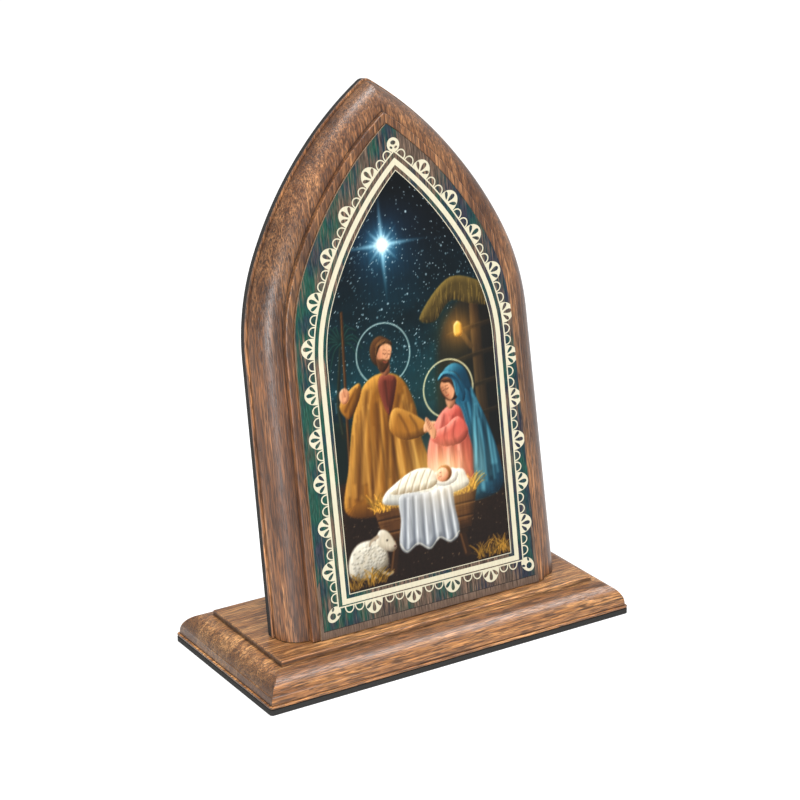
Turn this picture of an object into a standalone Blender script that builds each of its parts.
"""Nativity shrine: a pointed-arch plaque that leans back on a stepped, moulded base.

Metres, +Z up. The front faces -Y and the origin is the middle of the underside.
"""

import math

import bmesh
import bpy
from mathutils import Vector

MM = 0.001

# Space left between two pieces that touch.
FIT_GAP = 0.3 * MM

# Both boards have the same moulding worked round their edge. From the flat field
# outwards it is a low wall, a wide quarter round and a thin lip at the foot.
WALL_HEIGHT = 1.5 * MM
OVOLO_WIDTH = 7.35 * MM
OVOLO_DROP = 6.8 * MM
LIP_WIDTH = 0.65 * MM
LIP_THICKNESS = 0.5 * MM
EDGE_BREAK = 0.3 * MM
OVOLO_STEPS = 10

# Flat top of the base that shows beside, before and behind the plaque, and the dark sheet
# under the base.
SIDE_LEDGE = 4.9 * MM
FRONT_LEDGE = 4.6 * MM
BACK_LEDGE = 22.9 * MM
BASE_CORNER_ROUND = 1.0 * MM
PAD_THICKNESS = 1.7 * MM

# Outline of the plaque: straight sides that lean in a little, a shoulder arc and a long flat
# arc to the point. The width is the one at the foot.
PLAQUE_WIDTH = 94.2 * MM
SIDE_TAPER = math.radians(0.95)
SPRING_HEIGHT = 79.3 * MM
SHOULDER_RADIUS = 65.2 * MM
SHOULDER_TURN = math.radians(24.6)
ARCH_RADIUS = 107.2 * MM
APEX_ROUND = 2.5 * MM

# Lean of the plaque, and the dark sheet on its back.
LEAN = math.radians(10.3)
BACKING_THICKNESS = 1.7 * MM

# Thin printed panel, let into a shallow recess in the field of the plaque.
PANEL_THICKNESS = 0.6 * MM
PANEL_ROUND = 0.5 * MM
PANEL_MARGIN = 2.5 * MM
RECESS_DEPTH = 0.4 * MM

# How finely the curves are divided.
SHOULDER_STEPS = 6
ARCH_STEPS = 10
ROUND_STEPS = 4

# Length that the cutters and the uncut foot of the plaque have to spare.
CUT_SPARE = 4.0 * MM

MOULDING_WIDTH = OVOLO_WIDTH + LIP_WIDTH
BOARD_THICKNESS = WALL_HEIGHT + OVOLO_DROP + LIP_THICKNESS
BASE_BOTTOM = PAD_THICKNESS + FIT_GAP
BASE_TOP = BASE_BOTTOM + BOARD_THICKNESS
PANEL_INSET = MOULDING_WIDTH + PANEL_MARGIN
PANEL_PROUD = PANEL_THICKNESS + FIT_GAP - RECESS_DEPTH
BACKING_FRONT = PANEL_PROUD + BOARD_THICKNESS + FIT_GAP
PLAQUE_DEPTH = BACKING_FRONT + BACKING_THICKNESS
FOOT_DEPTH = PLAQUE_DEPTH / math.cos(LEAN)
BASE_WIDTH = PLAQUE_WIDTH + 2 * (SIDE_LEDGE + MOULDING_WIDTH)
BASE_DEPTH = FRONT_LEDGE + FOOT_DEPTH + BACK_LEDGE + 2 * MOULDING_WIDTH
PANEL_FRONT_Y = -BASE_DEPTH / 2 + MOULDING_WIDTH + FRONT_LEDGE
FOOT_DROP = CUT_SPARE + PLAQUE_DEPTH * abs(math.tan(LEAN))
SMOOTH_ANGLE = math.radians(30.0)
MERGE_DISTANCE = 0.002 * MM


def clear_scene():
    """Remove every object that the file opened with."""
    for item in list(bpy.data.objects):
        bpy.data.objects.remove(item, do_unlink=True)


def new_collection(name):
    """Make a collection under the scene's own."""
    collection = bpy.data.collections.new(name)
    bpy.context.scene.collection.children.link(collection)
    return collection


def material(name, colour, roughness, metallic=0.0):
    """Make a plain material from a colour, a roughness and a metallic value."""
    result = bpy.data.materials.new(name)
    result.use_nodes = True
    shader = result.node_tree.nodes["Principled BSDF"]
    shader.inputs["Base Color"].default_value = (*colour, 1.0)
    shader.inputs["Roughness"].default_value = roughness
    shader.inputs["Metallic"].default_value = metallic
    return result


def arc(centre_x, centre_y, radius, start, end, steps):
    """Points of an arc from one angle to another, both ends included."""
    points = []
    for step in range(steps + 1):
        angle = start + (end - start) * step / steps
        points.append((centre_x + radius * math.cos(angle), centre_y + radius * math.sin(angle)))
    return points


def shoulder_centre():
    """Centre of the shoulder arc on the right, square to the side where that ends."""
    x = PLAQUE_WIDTH / 2 - SPRING_HEIGHT * math.tan(SIDE_TAPER)
    x -= SHOULDER_RADIUS * math.cos(SIDE_TAPER)
    y = SPRING_HEIGHT - SHOULDER_RADIUS * math.sin(SIDE_TAPER)
    return x, y


def arch_centre():
    """Centre of the long arc on the right, which lies left of the middle line."""
    shoulder_x, shoulder_y = shoulder_centre()
    reach = ARCH_RADIUS - SHOULDER_RADIUS
    angle = SIDE_TAPER + SHOULDER_TURN
    return shoulder_x - reach * math.cos(angle), shoulder_y - reach * math.sin(angle)


def arch_outline(inset, apex_round):
    """Open outline from the right foot over the point to the left foot.

    The inset is measured inwards from the outer edge. The arcs keep their centres, and a
    rounded point turns sharp where the inset is larger than its radius.
    """
    shoulder_x, shoulder_y = shoulder_centre()
    centre_x, centre_y = arch_centre()
    turned = SIDE_TAPER + SHOULDER_TURN
    radius = ARCH_RADIUS - inset
    tip_round = max(apex_round, 0.0)
    end = math.acos(-centre_x / (radius - tip_round))
    tip_y = centre_y + (radius - tip_round) * math.sin(end)
    foot_x = PLAQUE_WIDTH / 2 - inset / math.cos(SIDE_TAPER) + FOOT_DROP * math.tan(SIDE_TAPER)
    half = [(foot_x, -FOOT_DROP)]
    half += arc(shoulder_x, shoulder_y, SHOULDER_RADIUS - inset, SIDE_TAPER, turned,
                SHOULDER_STEPS)
    half += arc(centre_x, centre_y, radius, turned, end, ARCH_STEPS)[1:]
    half += arc(0.0, tip_y, tip_round, end, math.pi / 2, ROUND_STEPS)[1:]
    mirrored = [(-x, y) for x, y in reversed(half[:-1])]
    return half + mirrored


def rectangle_outline(inset):
    """Closed outline of the base, whose corners turn sharp where the inset passes their radius."""
    corner = max(BASE_CORNER_ROUND - inset, 0.0)
    x = BASE_WIDTH / 2 - inset - corner
    y = BASE_DEPTH / 2 - inset - corner
    points = []
    for quarter, (side_x, side_y) in enumerate(((1, 1), (-1, 1), (-1, -1), (1, -1))):
        start = quarter * math.pi / 2
        points += arc(side_x * x, side_y * y, corner, start, start + math.pi / 2, ROUND_STEPS)
    return points


def moulding_profile():
    """Steps of the moulding, each an inset from the outer edge and a drop below the field."""
    steps = [
        (MOULDING_WIDTH + EDGE_BREAK, 0.0),
        (MOULDING_WIDTH, EDGE_BREAK),
    ]
    for step in range(OVOLO_STEPS + 1):
        angle = math.pi / 2 * step / OVOLO_STEPS
        inset = MOULDING_WIDTH - OVOLO_WIDTH * math.sin(angle)
        steps.append((inset, WALL_HEIGHT + OVOLO_DROP * (1 - math.cos(angle))))
    steps.append((0.0, WALL_HEIGHT + OVOLO_DROP))
    steps.append((0.0, BOARD_THICKNESS))
    return steps


def loft(name, rows, closed):
    """Skin rows of points from the front down to the back, with flat faces on the open ends."""
    mesh = bpy.data.meshes.new(name)
    work = bmesh.new()
    verts = [[work.verts.new(Vector(point)) for point in row] for row in rows]
    count = len(rows[0])
    spans = count if closed else count - 1
    for upper, lower in zip(verts, verts[1:]):
        for index in range(spans):
            after = (index + 1) % count
            work.faces.new((upper[index], lower[index], lower[after], upper[after]))
    work.faces.new(verts[0])
    work.faces.new(list(reversed(verts[-1])))
    if not closed:
        work.faces.new([row[-1] for row in verts] + [row[0] for row in reversed(verts)])
    bmesh.ops.remove_doubles(work, verts=work.verts, dist=MERGE_DISTANCE)
    bmesh.ops.recalc_face_normals(work, faces=work.faces)
    work.to_mesh(mesh)
    work.free()
    return mesh


def flat_mesh(name, outline, thickness):
    """Flat sheet from an outline, its back at zero and its front at the thickness."""
    curve = bpy.data.curves.new(name + "_outline", "CURVE")
    curve.dimensions = "2D"
    curve.fill_mode = "BOTH"
    curve.extrude = thickness / 2
    spline = curve.splines.new("POLY")
    spline.points.add(len(outline) - 1)
    for point, (x, y) in zip(spline.points, outline):
        point.co = (x, y, 0.0, 1.0)
    spline.use_cyclic_u = True
    holder = bpy.data.objects.new(name + "_outline", curve)
    bpy.context.scene.collection.objects.link(holder)
    graph = bpy.context.evaluated_depsgraph_get()
    mesh = bpy.data.meshes.new_from_object(holder.evaluated_get(graph))
    bpy.data.objects.remove(holder, do_unlink=True)
    bpy.data.curves.remove(curve)
    work = bmesh.new()
    work.from_mesh(mesh)
    bmesh.ops.translate(work, verts=work.verts, vec=(0.0, 0.0, thickness / 2))
    bmesh.ops.remove_doubles(work, verts=work.verts, dist=MERGE_DISTANCE)
    bmesh.ops.recalc_face_normals(work, faces=work.faces)
    work.to_mesh(mesh)
    work.free()
    mesh.name = name
    return mesh


def tidy_outline(outline):
    """Drop points that fall on the one before, as at a corner that has turned sharp."""
    kept = [outline[0]]
    for point in outline[1:]:
        if math.dist(point, kept[-1]) > MERGE_DISTANCE:
            kept.append(point)
    return kept


def place(name, mesh, collection, look, parent=None, location=(0.0, 0.0, 0.0)):
    """Put a mesh in the scene as a named piece, smooth except at its arrises."""
    piece = bpy.data.objects.new(name, mesh)
    collection.objects.link(piece)
    mesh.name = name
    mesh.materials.clear()
    mesh.materials.append(look)
    mesh.shade_smooth()
    mesh.set_sharp_from_angle(angle=SMOOTH_ANGLE)
    piece.parent = parent
    piece.location = location
    return piece


def cut(piece, cutter):
    """Take a cutter out of a piece."""
    step = piece.modifiers.new(cutter.name, "BOOLEAN")
    step.operation = "DIFFERENCE"
    step.solver = "EXACT"
    step.object = cutter


def as_cutter(item):
    """Show a cutter as a wire and keep it out of the render."""
    item.hide_render = True
    item.display_type = "WIRE"
    return item


def make_base(collection):
    """Base board: a flat top inside the moulding, with mitred corners."""
    rows = []
    for inset, drop in moulding_profile():
        rows.append([(x, y, BASE_TOP - drop) for x, y in rectangle_outline(inset)])
    wood = material("walnut_base", (0.24, 0.105, 0.045), 0.38)
    place("base", loft("base", rows, True), collection, wood)


def make_pad(collection):
    """Dark sheet under the base, as large as the board."""
    dark = material("charcoal_sheet", (0.045, 0.045, 0.043), 0.75)
    mesh = flat_mesh("base_pad", tidy_outline(rectangle_outline(0.0)), PAD_THICKNESS)
    place("base_pad", mesh, collection, dark)


def make_plaque_frame(collection):
    """Empty at the foot of the panel's front: X across, Y up the plaque, Z out of its face."""
    frame = bpy.data.objects.new("plaque_frame", None)
    frame.location = (0.0, PANEL_FRONT_Y, BASE_TOP)
    frame.rotation_euler = (math.pi / 2 - LEAN, 0.0, 0.0)
    collection.objects.link(frame)
    return frame


def make_foot_cutter(collection):
    """Block that cuts the leaning pieces flat, a fit gap above the base."""
    height = 2 * FOOT_DROP
    mesh = bpy.data.meshes.new("foot_cutter")
    work = bmesh.new()
    bmesh.ops.create_cube(work, size=1.0)
    size = (PLAQUE_WIDTH + 2 * CUT_SPARE, 2 * (PLAQUE_DEPTH + FOOT_DROP), height)
    bmesh.ops.scale(work, verts=work.verts, vec=size)
    work.to_mesh(mesh)
    work.free()
    cutter = bpy.data.objects.new("foot_cutter", mesh)
    middle_y = PANEL_FRONT_Y + FOOT_DEPTH / 2
    cutter.location = (0.0, middle_y, BASE_TOP + FIT_GAP - height / 2)
    collection.objects.link(cutter)
    return as_cutter(cutter)


def make_recess_cutter(collection, frame):
    """Sheet that cuts the recess of the panel, a fit gap larger all round."""
    grow = FIT_GAP
    outline = tidy_outline(arch_outline(PANEL_INSET - grow, PANEL_ROUND + grow))
    cutter = bpy.data.objects.new("recess_cutter",
                                  flat_mesh("recess_cutter", outline, RECESS_DEPTH + CUT_SPARE))
    cutter.parent = frame
    cutter.location = (0.0, 0.0, -PANEL_PROUD - RECESS_DEPTH)
    collection.objects.link(cutter)
    return as_cutter(cutter)


def make_plaque(collection, frame, foot, recess):
    """Plaque board with the moulding round its arch and a recess for the panel."""
    rows = []
    for inset, drop in moulding_profile():
        outline = arch_outline(inset, APEX_ROUND - inset)
        rows.append([(x, y, -PANEL_PROUD - drop) for x, y in outline])
    wood = material("walnut_plaque", (0.22, 0.10, 0.048), 0.40)
    plaque = place("plaque", loft("plaque", rows, False), collection, wood, frame)
    cut(plaque, foot)
    cut(plaque, recess)


def make_backing(collection, frame, foot):
    """Dark sheet on the back of the plaque, as large as the board."""
    dark = material("charcoal_backing", (0.045, 0.045, 0.043), 0.75)
    outline = tidy_outline(arch_outline(0.0, APEX_ROUND))
    mesh = flat_mesh("plaque_backing", outline, BACKING_THICKNESS)
    backing = place("plaque_backing", mesh, collection, dark, frame, (0.0, 0.0, -PLAQUE_DEPTH))
    cut(backing, foot)


def make_panel(collection, frame, foot):
    """Thin printed panel that stands a little proud of the field."""
    print_look = material("printed_panel", (0.05, 0.10, 0.11), 0.32)
    outline = tidy_outline(arch_outline(PANEL_INSET, PANEL_ROUND))
    mesh = flat_mesh("picture_panel", outline, PANEL_THICKNESS)
    panel = place("picture_panel", mesh, collection, print_look, frame,
                  (0.0, 0.0, -PANEL_THICKNESS))
    cut(panel, foot)


def main():
    """Build the shrine from its underside upwards."""
    clear_scene()
    shrine = new_collection("nativity_shrine")
    cutters = new_collection("cutters")
    make_pad(shrine)
    make_base(shrine)
    frame = make_plaque_frame(shrine)
    foot = make_foot_cutter(cutters)
    recess = make_recess_cutter(cutters, frame)
    make_plaque(shrine, frame, foot, recess)
    make_backing(shrine, frame, foot)
    make_panel(shrine, frame, foot)


main()
